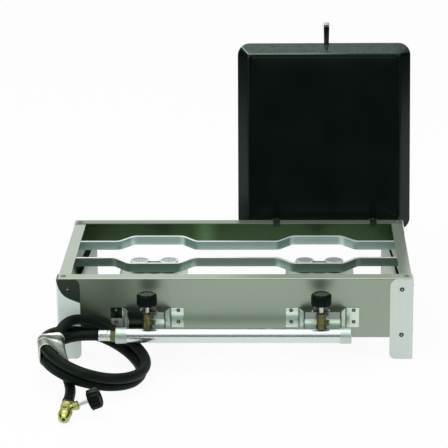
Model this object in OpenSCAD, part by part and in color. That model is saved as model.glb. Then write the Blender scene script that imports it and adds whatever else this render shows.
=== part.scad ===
/* [Frame] */
// Width of the frame over its side panels
frame_w = 600; // [560:5:640]
// Depth of the frame over its front and rear panels
frame_d = 330; // [325:1:335]
// Height of the frame's top edge above the floor
frame_h = 144.5; // [140:0.5:150]
// Thickness of the panel sheet
sheet = 1.2; // [1:0.1:1.4]
// Height of the front and side panels
panel_h = 106; // [104:1:108]
// Height of the rear panel
rear_h = 44; // [38:1:50]
// Width of the front panel's top flange
front_flange = 22; // [20:1:23]
// Width of the rear panel's top flange
rear_flange = 21.5; // [20:0.5:23]
// Width of the side panels' top flanges
side_flange = 20; // [18:1:22]

/* [Legs] */
// Width of each leg's front and side plates
leg_w = 39.5; // [38:0.5:41]
// Thickness of the leg sheet
leg_t = 2.5; // [2:0.5:2.5]

/* [Burners and grate] */
// Distance of each burner from the middle of the frame
station_x = 146; // [144:1:148]
// Distance of the burners behind the front panel
burner_y = 165.5; // [160:0.5:170]
// Diameter of each perforated burner disc
disc_d = 33; // [31:1:35]
// Distance between the two discs of a burner
disc_pitch = 51.5; // [48:0.5:54]
// Height of the grate bars
bar_h = 16; // [14:1:18]
// Thickness of the grate bars
bar_t = 5; // [4:0.5:6]
// Distance of the bars' straight runs from the burner line
bar_near = 46; // [44:1:48]
// Distance of the bars' bowed runs from the burner line
bar_far = 76; // [74:1:78]

/* [Gas supply] */
// Diameter of the manifold tube
manifold_d = 25.4; // [25:0.1:26]
// Diameter of the gas hose
hose_d = 17.5; // [17:0.1:17.8]
// Diameter of the burner knobs
knob_d = 34; // [32:1:35]

/* [Griddle] */
// Width of the griddle over its rim
griddle_w = 317; // [310:1:320]
// Length of the griddle over its rim
griddle_l = 345; // [341:1:347]
// Depth of the griddle
griddle_depth = 17; // [14:1:18]
// Backward lean of the opened griddle
lean = 11.5; // [8:0.5:15]

/* [Hidden] */
$fn = 48;

half_w = frame_w / 2;
half_pitch = disc_pitch / 2;
bend = 2.2;
side_top = frame_h - sheet;
panel_bottom = frame_h - panel_h;
lip = 12;

manifold_y = -45;
manifold_z = 58.4;
manifold_r = manifold_d / 2;
manifold_ends = [-194, 190.7];
cap_r = 13.75;
cap_l = 19;
cap_bore = 13;
nut_x = -208;
hose_start_x = -228.4;

// The mixing tube's height and the parts of the burner above it
tube_z = frame_h - 61;
tube_r = 14;
tube_bore = 11.5;
tube_front = -17;
tray_z = frame_h - 44;
tray_w = 119;
tray_back = 205;
disc_z = frame_h - 25;
panel_hole_r = 15;

// The bars' bows: their middle, half their far run and the run of each slant
bow_x = 142.4;
bow_half = 44;
bow_run = 25;

// The hat brackets that carry the valves, set a little outward of them
hat_x = station_x + 2.8;
hat_wall = 31;
hat_foot = 40;
hat_edge = 62;
hat_y = -23;
hat_z = [frame_h - 87, frame_h - 52.5];
hat_t = 1.5;
rivet_x = 53;
rivet_zs = [frame_h - 77.5, frame_h - 56.7];

knob_top = frame_h - 10.9;
knob_h = 19.9;
stem_r = 4;
valve_top = frame_h - 46;
seat_z = manifold_z + manifold_r;

leg_top = frame_h - 1.5;
leg_rivet_x = 283;
leg_rivet_y = 20;
leg_rivet_top = frame_h - 19;
leg_rivet_zs = [leg_rivet_top, frame_h - 100.7];
screw_h = 2.3;

// The griddle turns on a pin just behind the rear panel
pin_y = frame_d + 4.5;
pin_z = frame_h - 2;
pin_r = 2;
barrel_r = 3.5;
leaf_t = 1.5;
leaf_gap = 0.3;
hinge_w = 12;
hinge_xs = [70, 247];
under_y = barrel_r + leaf_gap + leaf_t;
griddle_x = -1;
band = 19;
rim_low = -20.5;
griddle_t = 2;
handle_x = 162;
handle_w = 10.6;
handle_t = 3;
handle_top = 359;
handle_hook = 14;

// The middle of the whole stove, without its hose
mid_x = (griddle_x + griddle_w - half_w - leg_t) / 2;
front_y = manifold_y - knob_d / 2;
hook_end = under_y + griddle_depth + handle_hook;
back_y = pin_y + (handle_top + handle_t) * sin(lean) + hook_end * cos(lean);
mid_y = (front_y + back_y) / 2;

// Puts the origin under the middle of the stove, on the floor
module at() translate([-mid_x, -mid_y, 0]) children();

// Sets children upright in the opened griddle's leaning frame, at its pin
module on_griddle() at() translate([0, pin_y, pin_z]) rotate([-lean, 0, 0]) children();

// Turns a shape drawn in X and Z into a plate of thickness t that starts at y
module plate(y, t) translate([0, y + t, 0]) rotate([90, 0, 0]) linear_extrude(t) children();

// Extrudes a shape drawn in Y and Z from x to x + l
module along_x(x, l) translate([x, 0, 0]) rotate([90, 0, 90]) linear_extrude(l) children();

// Lays a cylinder along Y from y0 to y1
module rod_y(x, z, r, y0, y1) translate([x, y0, z]) rotate([-90, 0, 0]) cylinder(r = r, h = y1 - y0);

// Lays a cylinder along X from x0 to x1
module rod_x(y, z, r, x0, x1) translate([x0, y, z]) rotate([0, 90, 0]) cylinder(r = r, h = x1 - x0);

// A folded edge: an upright wall of height h and a flange of width w, with a round bend
module folded_edge(h, w, t) {
    translate([0, -h]) square([t, h - bend]);
    translate([bend, -t]) square([w - bend, t]);
    intersection() {
        translate([0, -bend]) square(bend);
        translate([bend, -bend]) difference() {
            circle(bend);
            circle(bend - t);
        }
    }
}

module bracket_rivet_holes(y, l) {
    for (s = [-1, 1], dx = [-rivet_x, rivet_x], z = rivet_zs)
        rod_y(s * hat_x + dx, z, 2.05, y, y + l);
}

module leg_rivet_holes_y(y, l) {
    for (s = [-1, 1], z = leg_rivet_zs) rod_y(s * leg_rivet_x, z, 2.55, y, y + l);
}

module front_panel() {
    color("#a5ada0") at() difference() {
        along_x(sheet - half_w, frame_w - 2 * sheet) translate([0, frame_h])
            folded_edge(panel_h, front_flange, sheet);
        for (s = [-1, 1]) rod_y(s * station_x, tube_z, panel_hole_r, -5, 10);
        bracket_rivet_holes(-5, 10);
        leg_rivet_holes_y(-5, 10);
        for (s = [-1, 1]) screw_hole(s, 0);
    }
}

// A screw's hole through the flanges at one front or rear corner
module screw_hole(s, rear) {
    translate([s * 291, rear ? frame_d - 12 : 12, frame_h - 10]) cylinder(r = 2.55, h = 20);
}

module rear_panel() {
    color("#8c978b") at() difference() {
        along_x(sheet - half_w, frame_w - 2 * sheet) translate([frame_d, frame_h])
            mirror([1, 0]) folded_edge(rear_h, rear_flange, sheet);
        for (s = [-1, 1]) {
            screw_hole(s, 1);
            rod_y(s * leg_rivet_x, leg_rivet_top, 2.55, frame_d - 10, frame_d + 10);
        }
    }
}

// A side panel for the left, with a flange along its top and a lip along its bottom
module side_sheet() {
    translate([-half_w, 0, panel_bottom]) cube([sheet, frame_d, side_top - panel_bottom]);
    translate([-half_w, 3, side_top - sheet]) cube([side_flange, frame_d - 6, sheet]);
    translate([-half_w, 3, panel_bottom]) cube([lip, frame_d - 6, sheet]);
}

module side_panel(s) {
    color("#9aa59b") at() difference() {
        mirror([s > 0 ? 1 : 0, 0, 0]) side_sheet();
        for (rear = [0, 1]) screw_hole(s, rear);
        for (y = [leg_rivet_y, frame_d - leg_rivet_y], z = leg_rivet_zs)
            rod_x(y, z, 2.55, s * half_w - 5, s * half_w + 5);
    }
}

module left_side_panel() side_panel(-1);

module right_side_panel() side_panel(1);

// A leg plate's outline: square at the bent edge, round at its free corners
module leg_outline(w, h, r_top, r_low) {
    square([w - r_top, h]);
    translate([0, r_low]) square([w, h - r_top - r_low]);
    translate([w - r_top, h - r_top]) circle(r_top);
    translate([0, 0]) square([w - r_low, h / 2]);
    translate([w - r_low, r_low]) circle(r_low);
}

// The front left leg: an angle that wraps the frame's corner
module corner_leg() {
    translate([-half_w - leg_t, -leg_t, 0]) {
        intersection() {
            linear_extrude(leg_top) leg_angle();
            union() {
                plate(-1, leg_t + 1) leg_outline(leg_w, leg_top, 12.5, 10);
                translate([leg_t, 0, 0]) rotate([90, 0, 90]) translate([0, 0, -leg_t - 1])
                    linear_extrude(leg_t + 1) leg_outline(leg_w, leg_top, 12.5, 10);
            }
        }
    }
}

// The leg's plan: two walls that meet in a round bend
module leg_angle() {
    r = leg_t + 0.5;
    difference() {
        union() {
            translate([r, 0]) square([leg_w - r, leg_t]);
            translate([0, r]) square([leg_t, leg_w - r]);
            translate([r, r]) intersection() {
                circle(r);
                translate([-r, -r]) square(r);
            }
        }
        translate([leg_t, leg_t]) square(leg_w);
    }
}

module leg(s, rear) {
    color("#b9c4b8") at() difference() {
        translate([0, rear ? frame_d : 0, 0]) mirror([0, rear, 0])
            mirror([s > 0 ? 1 : 0, 0, 0]) corner_leg();
        for (z = leg_rivet_zs) {
            if (rear == 0 || z == leg_rivet_top)
                rod_y(s * leg_rivet_x, z, 2.55, rear ? frame_d - 5 : -5, rear ? frame_d + 5 : 5);
            rod_x(rear ? frame_d - leg_rivet_y : leg_rivet_y, z, 2.55, s * half_w - 5, s * half_w + 5);
        }
    }
}

module front_left_leg() leg(-1, 0);

module front_right_leg() leg(1, 0);

module rear_left_leg() leg(-1, 1);

module rear_right_leg() leg(1, 1);

// A rivet along +Z: a domed head above z = 0, a shank and a set tail below the grip
module rivet(shank_r, head_r, head_h, grip) {
    rotate_extrude() {
        translate([0, -grip - 1]) square([shank_r, grip + 1]);
        intersection() {
            square([head_r, head_h]);
            translate([0, head_h - dome_r(head_r, head_h)]) circle(dome_r(head_r, head_h), $fn = 96);
        }
        translate([0, -grip - 1]) square([shank_r * 1.4, 1]);
    }
}

// The radius of a dome that is r wide and h high
function dome_r(r, h) = (r * r + h * h) / (2 * h);

module leg_rivets() {
    grip = leg_t + sheet;
    color("#c9cec8") at() for (s = [-1, 1], rear = [0, 1], z = leg_rivet_zs) {
        if (rear == 0 || z == leg_rivet_top)
            translate([s * leg_rivet_x, rear ? frame_d + leg_t : -leg_t, z])
                rotate([rear ? -90 : 90, 0, 0]) rivet(2.5, 4, 1.6, grip);
        translate([s * (half_w + leg_t), rear ? frame_d - leg_rivet_y : leg_rivet_y, z])
            rotate([0, s * 90, 0]) rivet(2.5, 4, 1.6, grip);
    }
}

// Pan-head screws through the corner flanges, each with its nut
module corner_screws() {
    color("#b4b9b2") at() for (s = [-1, 1], rear = [0, 1])
        translate([s * 291, rear ? frame_d - 12 : 12, 0]) {
            translate([0, 0, frame_h]) rotate_extrude() intersection() {
                square([4.2, screw_h]);
                translate([0, screw_h - dome_r(4.6, screw_h)]) circle(dome_r(4.6, screw_h), $fn = 96);
            }
            translate([0, 0, frame_h - 8]) cylinder(r = 2.5, h = 8);
            translate([0, 0, frame_h - 2 * sheet - 4]) difference() {
                cylinder(r = 4.6, h = 4, $fn = 6);
                translate([0, 0, -1]) cylinder(r = 2.5, h = 6);
            }
        }
}

// Half of the outer edge of a grate bar, from the middle to a side panel
function bar_half(off) = let (k = off * tan(atan2(bar_far - bar_near, bow_run) / 2)) [
    [0, bar_near + off],
    [bow_x - bow_half - bow_run - k, bar_near + off],
    [bow_x - bow_half - k, bar_far + off],
    [bow_x + bow_half + k, bar_far + off],
    [bow_x + bow_half + bow_run + k, bar_near + off],
    [half_w - sheet, bar_near + off]];

function flip_x(points) = [for (i = [len(points) - 1:-1:0]) [-points[i][0], points[i][1]]];

function backwards(points) = [for (i = [len(points) - 1:-1:0]) points[i]];

// A bar's plan, centred on its own line, bowed away from the burners twice
function bar_plan() = let (outer = bar_half(bar_t / 2), inner = bar_half(-bar_t / 2))
    concat(flip_x(outer), outer, backwards(inner), backwards(flip_x(inner)));

module grate_bar(side) {
    color("#6f7d78") at() translate([0, burner_y, frame_h - 2.5 - bar_h])
        mirror([0, side < 0 ? 1 : 0, 0]) linear_extrude(bar_h) polygon(bar_plan());
}

module front_grate_bar() grate_bar(-1);

module rear_grate_bar() grate_bar(1);

// A cast burner: a mixing tube, a riser through the tray and two cups on a link
module burner_body(s) {
    cup_low = tray_z + 3;
    link_z = cup_low + 9;
    color("#7d8580") at() translate([s * station_x, 0, 0]) difference() {
        union() {
            rod_y(0, tube_z, tube_r, tube_front, burner_y + 18);
            rod_y(0, tube_z, tube_r + 1.8, tube_front, tube_front + 4);
            translate([0, burner_y, tube_z]) cylinder(r = 13, h = cup_low + 2 - tube_z);
            translate([0, burner_y, cup_low]) cylinder(r = 16.5, h = 3);
            rod_x(burner_y, link_z, 6.9, -half_pitch, half_pitch);
            for (d = [-half_pitch, half_pitch])
                translate([d, burner_y, cup_low]) cylinder(r = disc_d / 2 - 0.5, h = disc_z - cup_low);
        }
        rod_y(0, tube_z, tube_bore, tube_front - 5, burner_y + 12);
        translate([0, burner_y, tube_z]) cylinder(r = 9, h = link_z - tube_z);
        rod_x(burner_y, link_z, 5, -half_pitch, half_pitch);
        for (d = [-half_pitch, half_pitch])
            translate([d, burner_y, cup_low + 2]) cylinder(r = disc_d / 2 - 2.5, h = 40);
    }
}

module left_burner_body() burner_body(-1);

module right_burner_body() burner_body(1);

// Two domed discs with rings of flame ports, set on the burner's cups
module burner_caps(s) {
    dome = 2.5;
    color("#c4cac6") at() for (d = [-half_pitch, half_pitch])
        translate([s * station_x + d, burner_y, disc_z]) difference() {
            rotate_extrude() intersection() {
                square([disc_d / 2, dome + 1]);
                translate([0, dome + 1 - dome_r(24, dome + 1)]) circle(dome_r(24, dome + 1), $fn = 120);
            }
            for (ring = [[6, 6], [12, 11]], i = [0:ring[0] - 1]) rotate(360 / ring[0] * i)
                translate([ring[1], 0, -1]) cylinder(r = 1.2, h = 8, $fn = 16);
        }
}

module left_burner_caps() burner_caps(-1);

module right_burner_caps() burner_caps(1);

// A spill tray with upturned sides and a front tab that hangs on the front panel
module burner_tray(s) {
    color("#9ba49d") at() difference() {
        translate([s * station_x - tray_w / 2, 0, 0]) {
            translate([0, sheet, tray_z]) cube([tray_w, tray_back - sheet, sheet]);
            translate([0, sheet, tray_z - 22]) cube([tray_w, sheet, 22 + sheet]);
            for (x = [0, tray_w - sheet])
                translate([x, sheet, tray_z]) cube([sheet, tray_back - sheet, 8]);
        }
        rod_y(s * station_x, tube_z, panel_hole_r, -5, 10);
        translate([s * station_x, burner_y, tray_z - 5]) cylinder(r = 13.3, h = 10);
        bracket_rivet_holes(-5, 10);
    }
}

module left_burner_tray() burner_tray(-1);

module right_burner_tray() burner_tray(1);

// The hat bracket's plan: two feet, two slanted walls and a front wall
function hat_half(off) = let (k = off * 0.55) [
    [hat_wall - k, hat_y + off], [hat_foot - k, -hat_t + off], [hat_edge, -hat_t + off]];

module valve_bracket(s) {
    outer = hat_half(0);
    inner = hat_half(hat_t);
    color("#b3bfb2") at() difference() {
        translate([s * hat_x, 0, hat_z[0]]) linear_extrude(hat_z[1] - hat_z[0])
            polygon(concat(flip_x(outer), outer, backwards(inner), backwards(flip_x(inner))));
        rod_y(s * station_x, tube_z, 6, hat_y - 5, hat_y + 5);
        bracket_rivet_holes(-5, 10);
    }
}

module left_valve_bracket() valve_bracket(-1);

module right_valve_bracket() valve_bracket(1);

module bracket_rivets() {
    color("#c9cec8") at() for (s = [-1, 1], dx = [-rivet_x, rivet_x], z = rivet_zs)
        translate([s * hat_x + dx, -hat_t, z]) rotate([90, 0, 0])
            rivet(2, 3.3, 1.4, hat_t + sheet + (z > tray_z - 22 ? sheet : 0));
}

// A brass tap: a hexagon on the manifold, a barrel, a bonnet and a blanked side port
module valve_body(s) {
    color("#b09a4e") at() translate([s * station_x, manifold_y, 0]) difference() {
        union() {
            translate([0, 0, seat_z - 6]) cylinder(r = 5, h = 8);
            translate([0, 0, seat_z]) cylinder(r = 9, h = 7, $fn = 6);
            translate([0, 0, seat_z + 7]) cylinder(r = 7.5, h = valve_top - seat_z - 12);
            translate([0, 0, valve_top - 5]) cylinder(r = 8.6, h = 5, $fn = 6);
            rod_y(0, tube_z, 5, 0, 14);
            rod_x(0, tube_z - 2, 4.5, 0, 13.6);
        }
        translate([0, 0, valve_top - 14]) cylinder(r = stem_r + 0.05, h = 20);
        rod_y(0, tube_z, 3, 6, 20);
        translate([0, 0, seat_z - 10]) cylinder(r = 3, h = 18);
    }
}

module left_valve_body() valve_body(-1);

module right_valve_body() valve_body(1);

// A brass jet that blows gas into the mouth of the mixing tube
module gas_jet(s) {
    color("#c2ab5c") at() translate([s * station_x, 0, 0]) difference() {
        union() {
            rod_y(0, tube_z, 2.95, manifold_y + 9, manifold_y + 14);
            rod_y(0, tube_z, 5.2, manifold_y + 14, manifold_y + 18);
            rod_y(0, tube_z, 3.4, manifold_y + 18, manifold_y + 33);
        }
        rod_y(0, tube_z, 1, manifold_y, manifold_y + 31);
    }
}

module left_gas_jet() gas_jet(-1);

module right_gas_jet() gas_jet(1);

module valve_stem(s) {
    color("#c8ccc8") at() translate([s * station_x, manifold_y, valve_top - 13])
        cylinder(r = stem_r, h = knob_top - knob_h + 9 - valve_top + 13);
}

module left_valve_stem() valve_stem(-1);

module right_valve_stem() valve_stem(1);

// A moulded knob: a fluted skirt with a chamfered, dished top and a bore for its stem
module knob_solid(d, h, bore_r, bore_h) {
    r = d / 2;
    difference() {
        rotate_extrude() polygon([[0, 0], [r - 1, 0], [r, 1], [r, h - 3], [r - 3, h], [r - 6, h],
            [r - 7, h - 1.5], [0, h - 1.5]]);
        for (i = [0:11]) rotate(30 * i + 15) translate([r + 2.4, 0, -1])
            cylinder(r = 3.4, h = h + 2, $fn = 24);
        translate([0, 0, -1]) cylinder(r = bore_r, h = bore_h + 1);
    }
}

module burner_knob(s) {
    color("#151817") at() translate([s * station_x, manifold_y, knob_top - knob_h])
        knob_solid(knob_d, knob_h, stem_r, 9);
}

module left_knob() burner_knob(-1);

module right_knob() burner_knob(1);

// The manifold: a tube with a seat hole for each tap in its top
module manifold_tube() {
    color("#c3cdcf") at() difference() {
        rod_x(manifold_y, manifold_z, manifold_r, manifold_ends[0], manifold_ends[1]);
        rod_x(manifold_y, manifold_z, manifold_r - 2, manifold_ends[0] - 1, manifold_ends[1] + 1);
        for (s = [-1, 1]) translate([s * station_x, manifold_y, manifold_z]) cylinder(r = 5.05, h = 20);
    }
}

// A cap that sleeves one end of the manifold, with a hole in its end if it has an inlet
module manifold_cap(x0, dir, hole_r) {
    color("#a9b3b0") at() translate([x0, manifold_y, manifold_z]) rotate([0, dir * 90, 0]) difference() {
        rotate_extrude() polygon([[0, 0], [cap_r, 0], [cap_r, cap_l - 1.2], [cap_r - 1.2, cap_l], [0, cap_l]]);
        translate([0, 0, -1]) cylinder(r = manifold_r + 0.05, h = cap_bore + 1);
        if (hole_r > 0) translate([0, 0, cap_bore - 1]) cylinder(r = hole_r, h = 20);
    }
}

module left_manifold_cap() manifold_cap(manifold_ends[0] + cap_bore, -1, 6.05);

module right_manifold_cap() manifold_cap(manifold_ends[1] - cap_bore, 1, 0);

// The inlet: a threaded stub in the cap, a hexagon and a tail for the hose
module inlet_nut() {
    cap_end = manifold_ends[0] + cap_bore - cap_l;
    color("#b09a4e") at() difference() {
        union() {
            rod_x(manifold_y, manifold_z, 6, cap_end - 1, cap_end + 9);
            translate([nut_x, manifold_y, manifold_z]) rotate([0, 90, 0]) rotate(30)
                cylinder(r = 11, h = cap_end - nut_x, $fn = 6);
            rod_x(manifold_y, manifold_z, 4.5, hose_start_x, nut_x + 1);
        }
        rod_x(manifold_y, manifold_z, 3, hose_start_x - 1, cap_end + 10);
    }
}

module hose_ferrule() {
    color("#c9cfcd") at() translate([nut_x, manifold_y, manifold_z]) rotate([0, -90, 0]) difference() {
        rotate_extrude() polygon([[0, 0], [9, 0], [9.5, 0.6], [9.5, 5], [9.1, 6], [9.1, 8], [9.5, 9],
            [9.5, nut_x - hose_start_x - 0.6], [9, nut_x - hose_start_x], [0, nut_x - hose_start_x]]);
        translate([0, 0, -1]) cylinder(r = 4.55, h = 40);
    }
}

// The hose leaves the ferrule to the left and turns forward and down to the floor
hose_lead = [[-228.4, -45, 58.4], [-237.4, -45, 58.4], [-246.4, -45, 58.4], [-258, -45.8, 58.3],
    [-273.5, -50.5, 58], [-289.5, -60.5, 56.5], [-303, -76, 53.5], [-311, -96, 50.5],
    [-312.5, -118, 49], [-306.5, -139.5, 46.5], [-295.5, -156, 44], [-281, -168.5, 39.5]];

// The hose comes down inside its own coil and runs forward on the floor to its fittings
hose_tail = [[-262.5, -26.5, 81.5], [-278, -45, 85], [-289.5, -69, 81], [-292.5, -94.5, 69.5],
    [-287, -114.5, 53], [-279.5, -128.5, 40.5], [-274.5, -142.5, 27], [-268, -158.5, 18],
    [-264, -177, 13], [-263.5, -196.5, 12], [-263.5, -203, 12], [-263.5, -212, 12],
    [-263.5, -221, 12]];

// The coil's middle, half widths, and how they drift and draw in over each turn
coil_mid = [-249.1, -93.2];
coil_drift = [16.3, -4.4];
coil_half = [92, 83.1];
coil_draw = [8.5, -4.5];
// Its height on the floor, how far it climbs and over which part of a turn, the three
// heights at the left, the turns at which it is highest and how steep each hump is
coil_floor = 9.4;
coil_climb = 17.1;
coil_rise = [0.55, 0.9];
coil_over = [57.9, 68.8, 86.7];
coil_peaks = [1.01, 1.92];
coil_humps = [1.51, 0.81, 1.69];
coil_step = 24;

function ease(t) = let (u = min(max(t, 0), 1)) u * u * (3 - 2 * u);

// A point of the coil after t turns: a flat oval that lies on the floor in front
// and rises at the left, over the stretch that leaves the ferrule
function coil_point(t) = let (
    a = 180 * (1 - 2 * t),
    low = coil_floor + coil_climb * ease((t - coil_rise[0]) / (coil_rise[1] - coil_rise[0])),
    over = t < 0.44 ? coil_over[0] : t < 1.42 ? coil_over[1] : coil_over[2],
    peak = t < 1.42 ? coil_peaks[0] : coil_peaks[1],
    power = t >= 1.42 ? coil_humps[2] : t >= 0.44 && t < peak ? coil_humps[1] : coil_humps[0],
    hump = pow((1 + cos(360 * (t - peak))) / 2, power))
    [coil_mid[0] + coil_drift[0] * t + (coil_half[0] - coil_draw[0] * t) * cos(a),
     coil_mid[1] + coil_drift[1] * t - (coil_half[1] - coil_draw[1] * t) * sin(a),
     low + (over - low) * hump];

coil_points = [for (i = [0:38]) coil_point(0.22 + i / coil_step)];

// Smooths a list of points and keeps its two ends
function smooth_points(p) = [for (i = [0:len(p) - 1])
    i == 0 || i == len(p) - 1 ? p[i] : (p[i - 1] + 4 * p[i] + p[i + 1]) / 6];

hose_points = smooth_points(concat(hose_lead, coil_points, hose_tail));

function unit(v) = v / norm(v);

function heading(p, i) = i == 0 ? unit(p[1] - p[0])
    : i == len(p) - 1 ? unit(p[i] - p[i - 1]) : unit(p[i + 1] - p[i - 1]);

function ring(p, i, r, sides) = let (t = heading(p, i), s = unit(cross(t, [0, 0, 1])), u = cross(s, t))
    [for (k = [0:sides - 1]) p[i] + r * (cos(360 * k / sides) * s + sin(360 * k / sides) * u)];

// Sweeps a round tube of radius r along the points p
module swept_tube(p, r, sides) {
    n = len(p);
    rings = [for (i = [0:n - 1]) each ring(p, i, r, sides)];
    walls = [for (i = [0:n - 2], k = [0:sides - 1]) let (m = (k + 1) % sides)
        each [[i * sides + k, i * sides + m, (i + 1) * sides + m],
              [i * sides + k, (i + 1) * sides + m, (i + 1) * sides + k]]];
    first = [[for (k = [sides - 1:-1:0]) k]];
    last = [[for (k = [0:sides - 1]) (n - 1) * sides + k]];
    polyhedron(points = rings, faces = concat(walls, first, last));
}

// The least gap between stretches of the hose that aren't next to each other
hose_gap = min([for (i = [0:len(hose_points) - 1], j = [0:len(hose_points) - 1])
    if (j > i + 3) norm(hose_points[i] - hose_points[j])]) - hose_d;
hose_length = [for (i = [0:len(hose_points) - 2]) norm(hose_points[i + 1] - hose_points[i])] *
    [for (i = [0:len(hose_points) - 2]) 1];
echo(hose_gap = hose_gap, hose_length = hose_length, mid_x = mid_x, mid_y = mid_y);

module gas_hose() {
    color("#141615") at() swept_tube(hose_points, hose_d / 2, 12);
}

// Where the band holds the hose: the three strands' places at its rear and front edges
strap_y = [-92, -134];
strap_rear = [[-308.8, 51.3], [-315.4, 68.5], [-291.1, 69.6]];
strap_front = [[-307.5, 47.1], [-306.2, 66.4], [-277.6, 35.3]];

// The band's outline, grown by g round the three strands
module strap_form(g, over) {
    hull() {
        for (p = strap_rear) rod_y(p[0], p[1], hose_d / 2 + g, strap_y[0] + over - 0.1, strap_y[0] + over);
        for (p = strap_front) rod_y(p[0], p[1], hose_d / 2 + g, strap_y[1] - over, strap_y[1] - over + 0.1);
    }
}

module coil_strap() {
    color("#b8bdb6") at() difference() {
        strap_form(1.7, 0);
        strap_form(0.9, 0.5);
    }
}

// The fittings at the hose's far end lie along -Y from here
end_x = -263.5;
end_y = -221;
end_z = 12;

// Sets children, drawn along +Z, along -Y from the hose's far end
module on_hose_end() at() translate([end_x, end_y, end_z]) rotate([90, 0, 0]) children();

module hose_end_sleeve() {
    color("#1c1f1e") on_hose_end() difference() {
        rotate_extrude() polygon([[0, 0], [9.2, 0], [9.8, 0.8], [9.8, 13], [9.2, 14], [0, 14]]);
        translate([0, 0, -1]) cylinder(r = 4.55, h = 20);
    }
}

spindle_tilt = 22;
spindle_at = 34;

// The valve's spindle axis: out of the body's side, to the right and up
module on_spindle() at() translate([end_x, end_y - spindle_at, end_z])
    rotate([0, 90 - spindle_tilt, 0]) children();

module cylinder_valve_body() {
    color("#b3a04e") difference() {
        union() {
            on_hose_end() rotate_extrude() polygon([[0, 2], [4.5, 2], [4.5, 14], [9, 14], [9.6, 15], [9.6, 26],
                [8.6, 27], [8.6, 28], [10.4, 29], [10.4, 31], [9.4, 32], [9.4, 44], [8.8, 45], [0, 45]]);
            on_spindle() cylinder(r = 5.5, h = 14);
            on_spindle() translate([0, 0, 14]) cylinder(r = 7.4, h = 8, $fn = 6);
        }
        on_hose_end() cylinder(r = 3, h = 38);
        on_spindle() translate([0, 0, 11]) cylinder(r = 3.05, h = 20);
    }
}

module cylinder_valve_nut() {
    color("#b8a350") on_hose_end() difference() {
        rotate_extrude() polygon([[0, 45], [10.8, 45], [11.7, 46], [11.7, 56], [10.8, 57], [9.5, 57],
            [9.5, 70], [8.7, 71], [5.6, 76], [0, 76]]);
        cylinder(r = 2.5, h = 80);
    }
}

module cylinder_valve_spindle() {
    color("#c4c8c4") on_spindle() translate([0, 0, 12]) cylinder(r = 3, h = 40);
}

module cylinder_valve_knob() {
    color("#151817") on_spindle() translate([0, 0, 41]) knob_solid(34, 18, 3, 11);
}

// A rectangle's four corners, drawn in by r
function corners(x0, x1, z0, z1, r) = [for (x = [x0 + r, x1 - r], z = [z0 + r, z1 - r]) [x, z]];

// A tapered tray between two rounded rectangles, grown inward by t
module pan_form(t, y_under, y_rim) {
    c = sheet_slant * t;
    hull() {
        for (p = corners(griddle_x + band + c, griddle_x + griddle_w - band - c, rim_low + band + c,
            rim_low + griddle_l - band - c, 8)) rod_y(p[0], p[1], 8, y_under, y_under + 0.1, $fn = 32);
        for (p = corners(griddle_x + c, griddle_x + griddle_w - c, rim_low + c,
            rim_low + griddle_l - c, 15)) rod_y(p[0], p[1], 15, y_rim - 0.1, y_rim, $fn = 32);
    }
}

// How far a wall of one thickness moves sideways on the slanted sides
sheet_slant = 0.5;

// The griddle: a shallow pressed tray that shows its underside when it is open
module griddle_pan() {
    color("#101413") on_griddle() difference() {
        pan_form(0, under_y, under_y + griddle_depth);
        translate([0, griddle_t, 0]) pan_form(griddle_t, under_y, under_y + griddle_depth);
    }
}

// The lift handle's side view, in Y and Z: up the slanted rim, straight, then a hook
module handle_profile() {
    rim_top = rim_low + griddle_l;
    slope = atan(griddle_depth / band);
    n = [-cos(slope), sin(slope)];
    foot = [under_y + 4.5, rim_top - band + 4.5 * band / griddle_depth];
    shoulder = [under_y + griddle_depth - 3, rim_top - 3 * band / griddle_depth];
    hook_y = hook_end - handle_t;
    polygon([foot + 0.1 * n, foot + handle_t * n, shoulder + handle_t * n, [shoulder[0] + handle_t * n[0], rim_top],
        [shoulder[0] + handle_t * n[0], handle_top], [shoulder[0] + handle_t * n[0] + 3, handle_top + handle_t],
        [hook_end, handle_top + handle_t], [hook_end, handle_top], [shoulder[0] + handle_t * n[0] + 5, handle_top],
        [shoulder[0] + handle_t * n[0] + handle_t, handle_top - 2],
        [shoulder[0] + handle_t * n[0] + handle_t, rim_top + 1.5], shoulder + 0.1 * n]);
}

module griddle_handle() {
    color("#181b1a") on_griddle() along_x(handle_x - handle_w / 2, handle_w) handle_profile();
}

// The griddle's hinge leaves: a strap up its underside and one knuckle round the pin
module griddle_hinge_straps() {
    color("#1a1e1c") on_griddle() for (x = hinge_xs) difference() {
        union() {
            translate([x - hinge_w / 2, under_y - leaf_t, 2.5]) cube([hinge_w, leaf_t - 0.03, 25.5]);
            translate([x, under_y - 0.03, 28]) rotate([90, 0, 0])
                cylinder(r = hinge_w / 2, h = leaf_t - 0.03);
            translate([x - 1.9, 0, -1]) cube([3.8, under_y - 0.03, 5]);
            rod_x(0, 0, barrel_r, x - 1.9, x + 1.9);
        }
        rod_x(0, 0, pin_r + 0.05, x - 5, x + 5);
    }
}

// The frame's hinge leaves: clips folded over the rear flange, with two knuckles each
module hinge_clips() {
    flange_edge = frame_d - rear_flange;
    color("#59635c") at() for (x = hinge_xs) difference() {
        union() {
            translate([x - hinge_w / 2, flange_edge - leaf_t, frame_h])
                cube([hinge_w, pin_y - flange_edge + leaf_t, leaf_t]);
            translate([x - hinge_w / 2, flange_edge - leaf_t, frame_h - 6])
                cube([hinge_w, leaf_t, 6 + leaf_t]);
            for (k = [-1, 1]) rod_x(pin_y, pin_z, barrel_r, x + k * 4.1 - 1.9, x + k * 4.1 + 1.9);
        }
        rod_x(pin_y, pin_z, pin_r + 0.02, x - 10, x + 10);
        translate([x - 2.2, pin_y - 7.5, pin_z - 5]) cube([4.4, 20, 20]);
    }
}

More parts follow.
